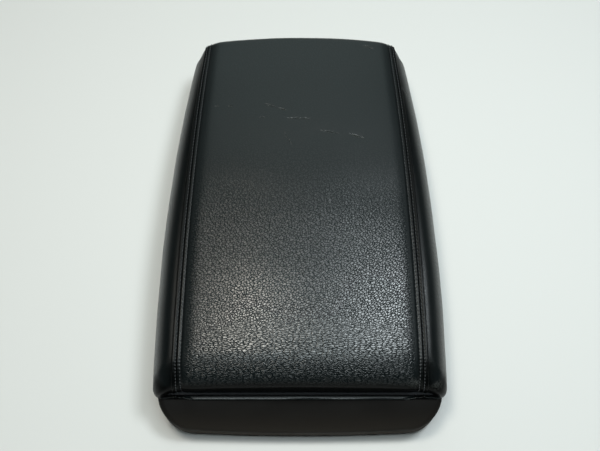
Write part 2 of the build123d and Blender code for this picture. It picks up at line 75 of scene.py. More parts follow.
# Grain by the seams: share left, margin without grain, width over which it returns, its end below the crown
drawn_flat = 0.12
smooth_margin = 0.0045
smooth_fade = 0.004
grain_end = 0.0185

# Grain towards the rear, where arms have rubbed it: places along Y and the share that is left
rubbed_from = -0.15
rubbed_to = -0.055
rubbed_share = 0.1

# Wrinkles of the front edge: where they begin and take over behind it, and how far that border strays
wrinkle_start = 0.066
wrinkle_full = 0.036
wrinkle_stray = 0.03

# Dull furrow along the seams, also painted darker there as painted shade: widths on the top and down the
# side
furrow_top = 0.0042
furrow_side = 0.0078

# Dull front face, also painted darker there as painted shade: its start below the crown, the dullness of the
# hem and the height over which that ends
face_start = 0.0125
hem_dullness = 0.1
hem_fade = 0.001

# Division of the leather: columns by each seam and between them, gap between those, rows for each stitch
seam_columns = 28
middle_columns = 25
column_gap = 0.002
rows_per_stitch = 4

# Division of the side panels: rows down each side, and how they crowd towards the seam
side_rows = 34
side_crowding = 1.35

# Share of the leather's thickness that is modelled
skin_share = 0.5

# Folded edge of the top panel: radius as a share of the leather, turns in degrees, and reach back under it
fold_share = 0.6
fold_turns = (60, 30, 0, -35, -70)
fold_under = 0.0022

# Side panel: reach under the lap, width over which it rises from there, middle and steps of its sweep
tuck = 0.0018
tuck_rise = 0.016
sweep_share = 0.72
sweep_steps = 49

# Turned-under hem: turns in degrees, and stops along its flat strip
hem_turns = (18, 36, 54, 72, 90)
hem_stops = (0.35, 1.0)

# Needle holes: how much deeper the channel is there
needle_share = 0.25

# Stitches: share of the pitch, rise and sink in thread radii, thickness at the ends, stray and skew
stitch_share = 0.86
stitch_rise = 3.4
stitch_sink = 0.8
stitch_end = 0.55
stitch_stray = 0.00006
stitch_skew = 0.00008

# Form of a stitch: share of its length that tapers, power of its arch, rings along it, sides round it
stitch_taper = 0.98
stitch_arch = 3
stitch_rings = 9
stitch_sides = 6

# Foam: clearance below the leather, and cuts along each side of the cube that it is cast from
foam_clearance = 0.0004
foam_cuts = 39

# Finding the surface: stops round the pad, halvings of a ray, passes to the seam, step, weld, far place
wrap_stops = 3001
ray_halvings = 40
seam_passes = 3
slope_step = 1e-5
weld = 1e-6
far_off = -1.0

# Dents in the top: place, radius and depth
DENTS = (
    (0.0154, -0.0634, 0.009, 0.0005),
    (-0.0130, -0.0401, 0.004, 0.0003),
    (0.0434, -0.0651, 0.004, 0.0003),
    (0.0860, -0.2410, 0.009, 0.0006),
)

# Scuffs and nicks in the leather: both ends in plan, and width
SCUFFS = (
    ((-0.0250, -0.0352), (-0.0200, -0.0372), 0.0010),
    ((-0.0150, -0.0395), (-0.0110, -0.0412), 0.0012),
    ((-0.0060, -0.0490), (0.0040, -0.0492), 0.0008),
    ((0.0190, -0.0610), (0.0265, -0.0625), 0.0012),
    ((0.0400, -0.0640), (0.0462, -0.0660), 0.0014),
    ((-0.0106, -0.0650), (-0.0072, -0.0720), 0.0008),
    ((-0.0305, -0.0474), (-0.0275, -0.0478), 0.0007),
    ((-0.0660, -0.0340), (-0.0636, -0.0345), 0.0009),
    ((-0.0556, -0.0348), (-0.0534, -0.0352), 0.0009),
    ((0.0535, 0.0302), (0.0600, 0.0286), 0.0018),
    ((0.0835, -0.0110), (0.0880, -0.0190), 0.0010),
    ((0.0725, -0.2510), (0.0795, -0.2500), 0.0040),
    ((0.0870, -0.2530), (0.0950, -0.2490), 0.0040),
)

# Lamps: place, point that each faces, width and depth, colour
LAMPS = {
    "right_softbox": ((0.44, 0.03, 1.05), (0.06, -0.2, 0.05), (0.27, 0.27), "eef8fc"),
    "left_softbox": ((-0.26, 0.0, 1.12), (-0.04, -0.21, 0.05), (0.27, 0.27), "fbf4e6"),
    "overhead_panel": ((0.04, -0.03, 1.16), (0.04, -0.04, 0.0), (0.78, 0.36), "e4f3f6"),
    "front_panel": ((0.04, -0.33, 1.1), (0.04, -0.3, 0.0), (0.78, 0.22), "e4f3f6"),
    "back_panel": ((0.0, 1.5, 1.1), (0.0, 0.0, 0.06), (1.6, 1.6), "dcf0ee"),
}


def length(name, description, default):
    """One size in metres for a property group."""
    return bpy.props.FloatProperty(name=name, description=description, default=default, unit="LENGTH")


def colour(name, description, default):
    """One sRGB hex colour for a property group."""
    return bpy.props.StringProperty(name=name, description=description, default=default)


def amount(name, description, default, unit="NONE"):
    """One number for a property group, with its unit if it has one."""
    return bpy.props.FloatProperty(name=name, description=description, default=default, unit=unit)


class CoverSizes(bpy.types.PropertyGroup):
    """Form of the padded top that the leather is drawn over."""

    front_width: length("Front width", "Width across the leather at its front edge", 0.2005)
    rear_width: length("Rear width", "Width across the leather where its rear end begins", 0.1775)
    side_bulge: length("Side bulge", "How far each side bows out from its chord", 0.006)
    rear_bulge: length("Rear bulge", "How far the rear end bows out", 0.0022)
    rear_corner: length("Rear corner", "Radius of the rear corners in plan", 0.016)
    cross_crown: length("Cross crown", "Radius of the crown across the width", 0.56)
    long_crown: length("Long crown", "Radius of the crown along the length", 1.5)
    front_roll: length("Front roll", "Length of the rounded front edge", 0.022)
    front_drop: length("Front drop", "Height of the rounded front edge", 0.013)
    front_corner: length("Front corner", "Radius of the front corners at the hem", 0.0085)
    upper_corner: length("Upper corner", "Radius of the front corners at the top", 0.018)
    corner_rise: length("Corner rise", "Height over which the front corners grow rounder", 0.022)
    shoulder_width: length("Shoulder width", "Width of the rounded side edges", 0.015)
    shoulder_height: length("Shoulder height", "Height of the rounded side edges", 0.027)
    rear_edge: length("Rear edge", "Radius of the rear edge", 0.007)
    flare: length("Flare", "How far the front face leans out towards its hem", 0.003)
    flare_reach: length("Flare reach", "Height over which the front face leans out", 0.0007)
    ledge: length("Ledge", "How far the pinched hem stands out at the front", 0.001)
    ledge_reach: length("Ledge reach", "Height of the pinched hem", 0.0002)
    lean_fade: length("Lean fade", "Distance from the sides over which the front face leans out", 0.03)
    hem_out: length("Hem out", "How far the front hem lies over the lip", 0.0012)
    leather: length("Leather", "Thickness of the leather", 0.0013)
    hem_radius: length("Hem radius", "Radius where the leather turns under", 0.0006)
    hem_width: length("Hem width", "Leather that shows on the underside", 0.008)


class SeamSizes(bpy.types.PropertyGroup):
    """Lapped seam with two rows of stitches on each shoulder."""

    front_half: length("Front half", "Half distance between the seams at the front", 0.0818)
    middle_half: length("Middle half", "Half distance between the seams half way", 0.0823)
    rear_half: length("Rear half", "Half distance between the seams at the rear", 0.0776)
    inner_row: length("Inner row", "Distance of the inner stitch row from the seam line", -0.0031)
    outer_row: length("Outer row", "Distance of the outer stitch row from the seam line", 0.0)
    lap: length("Lap", "How far the folded edge reaches past the seam line", 0.003)
    channel_depth: length("Channel depth", "Depth of the channel under each stitch row", 0.0007)
    channel_width: length("Channel width", "Width of that channel", 0.0008)
    sink: length("Sink", "How far the seam draws the pad in", 0.0013)
    sink_width: length("Sink width", "Width over which the top is drawn in", 0.006)
    sink_run: length("Sink run", "Width over which the side is drawn in", 0.02)
    press: length("Press", "How far the seam presses into the foam", 0.0019)
    press_width: length("Press width", "Width of that furrow in the foam", 0.009)
    reach: length("Reach", "Width of finely divided leather beside the seam", 0.016)
    stitch_pitch: length("Stitch pitch", "Distance from stitch to stitch", 0.0028)
    thread: length("Thread", "Diameter of the sewing thread", 0.00055)


class FinishColours(bpy.types.PropertyGroup):
    """Colours of the materials, as sRGB hex values."""

    leather: colour("Leather", "Black pigmented hide", "0b1112")
    # Painted shade: colour of the leather in the seam furrows and on the front face, where shade falls
    leather_painted_shade: colour("Leather in the furrows", "Hide drawn in along the seams", "040505")
    leather_worn: colour("Worn leather", "Hide where the finish is rubbed off", "343734")
    # Painted highlight: the black thread is coloured grey so that its glints show as light lines
    thread: colour("Thread", "Bonded polyester thread, greyed by wear", "3c3e40")
    foam: colour("Foam", "Moulded polyurethane foam", "cfc4a0")
    # Painted shade: the shell's colour at its top, in shade under the leather
    shell: colour("Shell", "Moulded shell", "050403")
    # Painted reflection: the shell's paler colour at its lower edge, standing in for the bright floor it
    # reflects
    shell_painted_reflection: colour("Rubbed shell", "Shell towards its handled lower edge", "443e37")
    carrier: colour("Carrier", "Plate under the foam", "26272a")
    rubber: colour("Rubber", "Bump stops", "151515")
    coated_steel: colour("Coated steel", "Hinge brackets", "1b1c1e")
    zinc: colour("Zinc", "Plated pins and screws", "b9b6aa")
    acetal: colour("Acetal", "Hinge bushes", "d8d3c4")
    floor: colour("Floor", "Studio floor", "d0cfcc")
    room: colour("Room", "Light of the surroundings", "f4f6f6")


class GrainSizes(bpy.types.PropertyGroup):
    """Patterns of the surfaces at their real sizes.

    The shell's grain, the foam's cells and the steel's streaks are finer on the real materials, and
    are drawn this coarse so that they show in the render.
    """

    pebble: length("Pebble", "Width of one pebble of the leather grain", 0.00145)
    pebble_length: length("Pebble length", "Length of one pebble of the leather grain", 0.0022)
    pebble_turn: bpy.props.FloatProperty(
        name="Pebble turn", description="Heading of the pebbles", default=radians(36), subtype="ANGLE"
    )
    pebble_height: length("Pebble height", "Height of the leather grain", 0.00006)
    valley: length("Valley", "Width of the slope at the rim of each pebble", 0.00036)
    crease: length("Crease", "Spacing of the wrinkles in the stretched front edge", 0.0013)
    crease_length: length("Crease length", "Length of those wrinkles", 0.0036)
    crease_height: length("Crease height", "Height of those wrinkles", 0.00009)
    nick: length("Nick", "Depth of the nicks", 0.0005)
    mottle: length("Mottle", "Width of the patches that glint more or less", 0.001706)
    pore: length("Pore", "Spacing of the pores", 0.0005)
    pore_depth: length("Pore depth", "Depth of the pores", 0.0005 / 6)
    twist: length("Twist", "Width of the turns in the thread", 0.00022)
    twist_depth: length("Twist depth", "Depth of those turns", 0.0001)
    shell_grain: length("Shell grain", "Width of the moulded grain on the shell", 0.0007)
    shell_depth: length("Shell depth", "Depth of that grain", 0.0007 / 12)
    foam_cell: length("Foam cell", "Width of the cells of the foam skin", 0.0012)
    foam_depth: length("Foam depth", "Depth of those cells", 0.0004)
    ragged: length("Ragged", "Width of the flecks that break up a scuff", 1 / 900)
    patch: length("Patch", "Width of the patches that hands have polished", 1 / 18)
    streak: length("Streak", "Width of the drawn streaks in plated steel", 1 / 3000)
    streak_length: length("Streak length", "Length of those streaks", 1 / 400)
    streak_depth: length("Streak depth", "Depth of those streaks", 0.00002)


class StudioSettings(bpy.types.PropertyGroup):
    """Camera and lamps."""

    camera_y: length("Camera back", "Place of the camera along Y", -0.3745)
    camera_z: length("Camera height", "Height of the camera", 0.4969)
    camera_pitch: bpy.props.FloatProperty(
        name="Camera pitch", description="Angle below the horizon", default=radians(62), subtype="ANGLE"
    )
    camera_lens: amount("Lens", "Focal length in millimetres", 42.0, "CAMERA")
    camera_sensor: amount("Sensor", "Width of the sensor in millimetres", 36.0, "CAMERA")
    right_softbox: amount("Right softbox", "Power of the right softbox in watts", 7.0, "POWER")
    left_softbox: amount("Left softbox", "Power of the left softbox in watts", 5.0, "POWER")
    overhead_panel: amount("Overhead panel", "Power of the wide panel overhead in watts", 3.7, "POWER")
    front_panel: amount("Front panel", "Power of the wide panel over the camera in watts", 3.6, "POWER")
    back_panel: amount("Back panel", "Power of the wide panel behind in watts", 7.2, "POWER")
    horizon: amount("Horizon", "Strength of the surroundings near the horizon", 0.12)
    ceiling: amount("Ceiling", "Strength of the surroundings overhead", 0.03)
    near_side: amount("Near side", "Share of that strength on the camera's side", 0.25)
    floor_side: length("Floor side", "Side of the studio floor", 8.0)


def linear(hex_code):
    """sRGB hex colour as linear RGBA."""
    parts = [int(hex_code[i:i + 2], 16) / 255 for i in (0, 2, 4)]
    return [c / 12.92 if c <= 0.04045 else ((c + 0.055) / 1.055) ** 2.4 for c in parts] + [1.0]


def put(tree, kind, inputs=(), **settings):
    """Adds one shader node; inputs are plain values or sockets to link, by name or in their order."""
    node = tree.nodes.new(kind)
    for key, value in settings.items():
        setattr(node, key, value)
    for key, value in inputs.items() if isinstance(inputs, dict) else enumerate(inputs):
        if isinstance(value, bpy.types.NodeSocket):
            tree.links.new(value, node.inputs[key])
        else:
            node.inputs[key].default_value = value
    return node


def new_material(name):
    """Empty node material."""
    material = bpy.data.materials.new(name)
    material.use_nodes = True
    material.node_tree.nodes.clear()
    return material, material.node_tree


def rounded_meet(a, b, radius):
    """Inside of both distances, with the edge between them rounded."""
    outside = np.hypot(np.maximum(a + radius, 0), np.maximum(b + radius, 0))
    return np.minimum(-radius, np.maximum(a, b)) + outside


def smooth_step(value):
    """Eased step from 0 to 1."""
    share = np.clip(value, 0, 1)
    return share * share * (3 - 2 * share)


def lost_above(size, reach, rise):
    """Part of a size that is lost at a height above the hem."""
    return size * (1 - np.exp(-rise / reach))


class PadForm:
    """Outside of the padded top, given by the distance of any point from it, negative inside."""

    def __init__(self, sizes, inset=0.0):
        self.sizes = sizes
        self.inset = inset
        run = rear_y - sizes.rear_bulge - front_y
        taper = (sizes.front_width - sizes.rear_width) / 2
        lean = atan2(taper, run)
        self.side_radius = (hypot(run, taper) ** 2 / 4 + sizes.side_bulge ** 2) / (2 * sizes.side_bulge)
        to_center = self.side_radius - sizes.side_bulge
        self.side_center_x = (sizes.front_width + sizes.rear_width) / 4 - to_center * cos(lean)
        self.side_center_y = (front_y + rear_y - sizes.rear_bulge) / 2 - to_center * sin(lean)
        rear_half = sizes.rear_width / 2
        self.rear_radius = (rear_half ** 2 + sizes.rear_bulge ** 2) / (2 * sizes.rear_bulge)
        self.hem_z = rim_z + sizes.hem_radius

    def front_lean(self, z):
        """How far the front face stands back from the hem at a height."""
        rise = np.maximum(z - self.hem_z, 0)
        lean = lost_above(self.sizes.flare, self.sizes.flare_reach, rise)
        return lean + lost_above(self.sizes.ledge, self.sizes.ledge_reach, rise)

    def distance(self, points):
        """Distance of points from the outside, negative inside."""
        sizes = self.sizes
        x, y, z = np.abs(points[..., 0]), points[..., 1], points[..., 2]
        axis_z = crown_z - sizes.cross_crown
        lifted = axis_z + np.hypot(x, z - axis_z)
        arch = np.sqrt(sizes.long_crown ** 2 - (y - mid_y) ** 2)
        above = lifted - (crown_z - sizes.long_crown + arch)
        side = x - self.side_center_x - np.sqrt(self.side_radius ** 2 - (y - self.side_center_y) ** 2)
        rear = np.hypot(x, y - rear_y + self.rear_radius) - self.rear_radius
        lean = self.front_lean(z) * smooth_step(-side / sizes.lean_fade)
        ahead = front_y - sizes.hem_out + lean - y
        up = smooth_step((z - self.hem_z) / sizes.corner_rise)
        corner = sizes.front_corner + (sizes.upper_corner - sizes.front_corner) * up
        plan = rounded_meet(rounded_meet(side, rear, sizes.rear_corner), ahead, corner)
        at_rear = smooth_step((rear - side) / sizes.rear_corner + 0.5)
        at_front = smooth_step((ahead - side) / sizes.upper_corner + 0.5)
        width, height = sizes.shoulder_width, sizes.shoulder_height
        width = width + (sizes.rear_edge - width) * at_rear + (sizes.front_roll - width) * at_front
        height = height + (sizes.rear_edge - height) * at_rear + (sizes.front_drop - height) * at_front
        return rounded_meet((above + self.inset) * width / height, plan + self.inset, width)

    def normal(self, points):
        """Directions that point straight out of the form."""
        steps = np.eye(3) * slope_step
        slopes = [self.distance(points + step) - self.distance(points - step) for step in steps]
        slopes = np.stack(slopes, axis=-1)
        return slopes / np.linalg.norm(slopes, axis=-1, keepdims=True)

    def cast(self, origins, directions):
        """Points where rays from the inside leave the form."""
        origins, directions = np.broadcast_arrays(origins, directions)
        near = np.zeros(origins.shape[:-1])
        far = np.full(origins.shape[:-1], rear_y - front_y)
        for _ in range(ray_halvings):
            middle = (near + far) / 2
            inside = self.distance(origins + directions * middle[..., None]) < 0
            near = np.where(inside, middle, near)
            far = np.where(inside, far, middle)
        return origins + directions * near[..., None]


def seam_half(seam, y):
    """Half distance between the seams at a station along Y."""
    share = (y - mid_y) / (rear_y - mid_y)
    slope = (seam.rear_half - seam.front_half) / 2
    bow = (seam.rear_half + seam.front_half) / 2 - seam.middle_half
    return seam.middle_half + slope * share + bow * share ** 2


class Wrap:
    """Stations round the pad from its front hem over the top to its rear hem.

    A station runs from 0 to 3: up the front, along the top, down the rear.
    """

    def __init__(self, form, seam):
        self.form = form
        self.seam = seam
        sizes = form.sizes
        self.base_z = form.hem_z
        self.front_fan = front_y + sizes.front_roll + sizes.flare + sizes.ledge
        self.rear_fan = rear_y - sizes.rear_corner
        fine = np.linspace(0, 3, wrap_stops)
        path = self.points(fine, np.zeros_like(fine))
        steps = np.linalg.norm(np.diff(path, axis=0), axis=1)
        self.fine = fine
        self.run = np.concatenate([[0], np.cumsum(steps)])

    def at(self, distance):
        """Station at a distance along the middle line from the front hem."""
        return np.interp(distance, self.run, self.fine)

    def rays(self, station):
        """Place along Y and direction in which a station looks for the surface."""
        rise = np.clip(station, 0, 1) * pi / 2
        fall = np.clip(station - 2, 0, 1) * pi / 2
        y = self.front_fan + np.clip(station - 1, 0, 1) * (self.rear_fan - self.front_fan)
        return y, np.sin(fall) - np.cos(rise), np.sin(rise) * np.cos(fall)

    def points(self, station, x):
        """Points of the surface at stations and places across."""
        station, x = np.broadcast_arrays(station, x)
        y, along, up = self.rays(station)
        origins = np.stack([x, y, np.full_like(x, self.base_z)], axis=-1)
        return self.form.cast(origins, np.stack([np.zeros_like(x), along, up], axis=-1))

    def seam_points(self, station, share, offset):
        """Points at a share of the half distance between the seams, plus an offset outwards."""
        points = self.points(station, np.zeros_like(share * station))
        for _ in range(seam_passes):
            x = share * seam_half(self.seam, points[..., 1]) + offset
            points = self.points(station, x)
        return points


def hem_rows(points, normals, sizes):
    """Turns the edge of a panel under: a quarter round, then a flat strip below the pad."""
    flat = normals * [1, 1, 0]
    flat /= np.linalg.norm(flat, axis=-1, keepdims=True)
    center = points - flat * sizes.hem_radius
    rows, directions, weights = [], [], []
    for turn in np.radians(hem_turns):
        direction = flat * cos(turn) - np.array([0, 0, sin(turn)])
        rows.append(center + direction * sizes.hem_radius)
        directions.append(direction)
        weights.append(cos(turn))
    under, facing = rows[-1], directions[-1]
    for share in hem_stops:
        rows.append(under - flat * sizes.hem_width * share)
        directions.append(facing)
        weights.append(0.0)
    return rows, directions, weights


def waviness(points):
    """Slow unevenness of foam under leather, from a few crossing waves."""
    draws = np.random.default_rng(seed)
    height = np.zeros(points.shape[:-1])
    for _ in range(wave_count):
        direction = draws.normal(size=3)
        direction /= np.linalg.norm(direction)
        wave = draws.uniform(*wave_lengths)
        height += np.sin(points @ direction * 2 * pi / wave + draws.uniform(0, 2 * pi))
    return height * wave_height


def dents(points):
    """Shallow dents that use has left in the top."""
    height = np.zeros(points.shape[:-1])
    for x, y, radius, depth in DENTS:
        away = np.hypot(points[..., 0] - x, points[..., 1] - y)
        height -= depth * np.exp(-(away / radius) ** 2)
    return height


def bell(offset, center, width):
    """Rounded hump of height 1."""
    return np.exp(-((offset - center) / width) ** 2)


def sunk(seam, offset):
    """How the pad lies lower beside the seam line, and recovers slowly down the side."""
    middle = (seam.inner_row + seam.outer_row) / 2
    width = np.where(np.less(offset, middle), seam.sink_width, seam.sink_run)
    return -seam.sink * bell(offset, middle, width)


def seam_height(seam, offset, run):
    """Height of the lapped leather beside the seam line, drawn in at each needle hole."""
    beat = 1 + needle_share * np.cos(2 * pi * run / seam.stitch_pitch)
    height = 0.0
    for row in (seam.inner_row, seam.outer_row):
        height = height - seam.channel_depth * beat * bell(offset, row, seam.channel_width)
    return height


def grain_left(seam, points, cross_crown):
    """Share of the embossed grain that is left: the hide is drawn flat by the seams and down the edges."""
    inside = seam_half(seam, points[:, 1]) - np.abs(points[:, 0])
    by_seam = drawn_flat + (1 - drawn_flat) * smooth_step((inside - smooth_margin) / smooth_fade)
    below = crown_z - points[:, 2] - points[:, 0] ** 2 / (2 * cross_crown)
    return by_seam * smooth_step((grain_end - below) / smooth_fade)


def shade_and_gloss_lost(seam, points, sizes):
    """Share of the gloss that is lost, and of the painted shade that darkens the colour, in the furrow along
    the seams and on the face above the front hem.
    """
    inside = seam_half(seam, points[:, 1]) - np.abs(points[:, 0])
    furrow = bell(inside, 0, np.where(inside > 0, furrow_top, furrow_side))
    below = crown_z - points[:, 2] - points[:, 0] ** 2 / (2 * sizes.cross_crown)
    above_hem = smooth_step((points[:, 2] - rim_z - sizes.hem_radius) / hem_fade)
    face = smooth_step((below - face_start) / smooth_fade)
    face = face * (hem_dullness + (1 - hem_dullness) * above_hem)
    at_front = smooth_step((front_y + sizes.front_roll - points[:, 1]) / (sizes.front_roll / 2))
    return np.maximum(furrow, face * at_front)


def skin_mesh(name, outer, inner, seam, sizes):
    """Closed mesh from the outer and inner grid of a panel."""
    rows, columns = outer.shape[:2]
    index = np.arange(rows * columns).reshape(rows, columns)
    quads = np.stack([index[:-1, :-1], index[:-1, 1:], index[1:, 1:], index[1:, :-1]], axis=-1)
    quads = quads.reshape(-1, 4)
    below = quads[:, ::-1] + rows * columns
    loop = np.concatenate([index[0, :-1], index[:-1, -1], index[-1, :0:-1], index[:0:-1, 0]])
    after = np.roll(loop, -1)
    rim = np.stack([after, loop, loop + rows * columns, after + rows * columns], axis=-1)
    mesh = bpy.data.meshes.new(name)
    points = np.concatenate([outer.reshape(-1, 3), inner.reshape(-1, 3)])
    mesh.from_pydata(points.tolist(), [], np.concatenate([quads, below, rim]).tolist())
    work = bmesh.new()
    work.from_mesh(mesh)
    bmesh.ops.remove_doubles(work, verts=work.verts, dist=weld)
    bmesh.ops.dissolve_degenerate(work, edges=work.edges, dist=weld)
    bmesh.ops.recalc_face_normals(work, faces=work.faces)
    work.to_mesh(mesh)
    work.free()
    mesh.shade_smooth()
    corners = np.array([vert.co for vert in mesh.vertices])
    # The dull share also paints shade into the leather's colour
    for attribute, values in (
        ("grain", grain_left(seam, corners, sizes.cross_crown)),
        ("dull", shade_and_gloss_lost(seam, corners, sizes)),
    ):
        mesh.attributes.new(attribute, "FLOAT", "POINT").data.foreach_set("value", values)
    return mesh


def add_piece(name, mesh, material, node):
    """Puts a piece of the lid in the scene in place of its solid."""
    piece = bpy.data.objects.new(name, mesh)
    bpy.context.scene.collection.objects.link(piece)
    mesh.materials.append(material)
    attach(piece, "lid")
    if node:
        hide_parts(node)
    return piece


def top_grid(wrap, seam, stations, runs):
    """Points, normals and lift of the centre panel, from folded edge to folded edge."""
    fold = wrap.form.sizes.leather * fold_share
    near = np.linspace(-seam.reach, seam.lap - fold, seam_columns)
    turns = np.radians(fold_turns)
    beside = np.concatenate([near, seam.lap - fold + fold * np.cos(turns), [seam.lap - fold_under]])
    drop = np.concatenate([np.zeros(seam_columns), fold * (np.sin(turns) - 1), [-2 * fold]])
    middle = np.linspace(-1, 1, middle_columns)
    between = np.zeros(middle_columns)
    ones = np.ones(len(beside))
    side = np.concatenate([-ones, between, ones])
    offset = np.concatenate([beside[::-1], between, beside])
    fall = np.concatenate([drop[::-1], between, drop])
    share = np.concatenate([-ones, middle, ones])
    pull = np.concatenate([0 * ones, middle * (seam.reach + column_gap), 0 * ones])
    points = wrap.seam_points(stations[:, None], share[None, :], (side * offset - pull)[None, :])
    normals = wrap.form.normal(points)
    beyond = np.where(side == 0, far_off, offset)[None, :]
    height = seam_height(seam, beyond, runs[:, None])
    fade = np.abs(side) * np.where(fall < 0, np.exp(fall / fold), 1.0)
    lift = height * fade[None, :] + fall[None, :] + sunk(seam, beyond) + waviness(points) + dents(points)
    return points, normals, lift


def with_hems(points, normals, lift, sizes):
    """Adds turned-under rows before the first row and after the last."""
    parts = []
    for row in (0, -1):
        rows, directions, weights = hem_rows(points[row], normals[row], sizes)
        raised = [p + d * lift[row][:, None] * w for p, d, w in zip(rows, directions, weights)]
        parts.append((raised, directions))
    before, after = parts
    outer = points + normals * lift[..., None]
    outer = np.concatenate([np.array(before[0])[::-1], outer, np.array(after[0])])
    facing = np.concatenate([np.array(before[1])[::-1], normals, np.array(after[1])])
    return outer, facing


class ARMREST_OT_leather_cover(bpy.types.Operator):
    """Makes the centre panel and both side panels of the leather cover"""

    bl_idname = "armrest.leather_cover"
    bl_label = "Leather cover"

    def execute(self, context):
        sizes = context.scene.armrest_cover
        seam = context.scene.armrest_seam
        wrap = Wrap(PadForm(sizes), seam)
        count = int(wrap.run[-1] / seam.stitch_pitch) * rows_per_stitch + 1
        runs = np.linspace(0, wrap.run[-1], count)
        stations = wrap.at(runs)
        leather = pebbled_leather(context.scene)
        points, normals, lift = top_grid(wrap, seam, stations, runs)
        outer, facing = with_hems(points, normals, lift, sizes)
        skin = sizes.leather * skin_share
        mesh = skin_mesh("top_panel_leather", outer, outer - facing * skin, seam, sizes)
        add_piece("top_panel_leather", mesh, leather, "top_panel")
        for side, word in ((-1, "left"), (1, "right")):
            outer, facing = side_grid(wrap, seam, stations, side)
            name = f"{word}_side_panel_leather"
            mesh = skin_mesh(name, outer, outer - facing * skin, seam, sizes)
            add_piece(name, mesh, leather, f"{word}_side_panel")
        return {"FINISHED"}


def side_grid(wrap, seam, stations, side):
    """Points and normals of one side panel, from below the lap down to its turned-under hem."""
    form = wrap.form
    sizes = form.sizes
    start = seam.lap - tuck
    edge = wrap.seam_points(stations, np.ones_like(stations), start)
    y = wrap.rays(stations)[0]
    inward = np.full_like(y, seam.rear_half * sweep_share)
    heart = np.stack([inward, y, np.full_like(y, wrap.base_z)], axis=-1)
    turn_front = atan2(edge[0, 1] - heart[0, 1], edge[0, 0] - heart[0, 0])
    turn_rear = atan2(edge[-1, 1] - heart[-1, 1], edge[-1, 0] - heart[-1, 0])
    turn = turn_front * (1 - np.clip(stations, 0, 1)) + turn_rear * np.clip(stations - 2, 0, 1)
    foot = form.cast(heart, np.stack([np.cos(turn), np.sin(turn), np.zeros_like(turn)], axis=-1))

    def swept(share):
        """Points between seam and foot, by turning from one to the other."""
        first = (edge - heart) / np.linalg.norm(edge - heart, axis=-1, keepdims=True)
        last = (foot - heart) / np.linalg.norm(foot - heart, axis=-1, keepdims=True)
        angle = np.arccos(np.clip(np.sum(first * last, axis=-1), -1, 1))[:, None]
        safe = np.maximum(np.sin(angle), weld)
        weight_first = np.where(angle > weld, np.sin((1 - share) * angle) / safe, 1 - share)
        weight_last = np.where(angle > weld, np.sin(share * angle) / safe, share)
        direction = weight_first[..., None] * first[:, None] + weight_last[..., None] * last[:, None]
        direction /= np.linalg.norm(direction, axis=-1, keepdims=True)
        return form.cast(heart[:, None] + 0 * direction, direction)

    fine = np.linspace(0, 1, sweep_steps)
    trial = swept(np.broadcast_to(fine, (len(stations), len(fine))))
    steps = np.linalg.norm(np.diff(trial, axis=1), axis=-1)
    run = np.concatenate([np.zeros((len(stations), 1)), np.cumsum(steps, axis=1)], axis=1)
    wanted = np.linspace(0, 1, side_rows) ** side_crowding
    share = np.array([np.interp(wanted * r[-1], r, fine) for r in run])
    points = swept(share)
    normals = form.normal(points)
    away = start + wanted[None, :] * run[:, -1:]
    lift = -sizes.leather * fold_share * (1 - smooth_step((away - seam.lap) / tuck_rise))
    lift = lift + sunk(seam, away) + waviness(points * [side, 1, 1]) + dents(points * [side, 1, 1])
    across = [a.swapaxes(0, 1) for a in (points, normals, lift)]
    rows, directions, weights = hem_rows(across[0][-1], across[1][-1], sizes)
    raised = [p + d * across[2][-1][:, None] * w for p, d, w in zip(rows, directions, weights)]
    outer = np.concatenate([across[0] + across[1] * across[2][..., None], np.array(raised)])
    facing = np.concatenate([across[1], np.array(directions)])
    return outer * [side, 1, 1], facing * [side, 1, 1]


class ARMREST_OT_stitching(bpy.types.Operator):
    """Sews two rows of stitches along each seam"""

    bl_idname = "armrest.stitching"
    bl_label = "Stitching"

    def execute(self, context):
        seam = context.scene.armrest_seam
        wrap = Wrap(PadForm(context.scene.armrest_cover), seam)
        thread = bonded_thread(context.scene)
        for side, word in ((-1, "left"), (1, "right")):
            name = f"{word}_seam_stitches"
            mesh = stitch_mesh(name, wrap, seam, side)
            add_piece(name, mesh, thread, None)
        return {"FINISHED"}


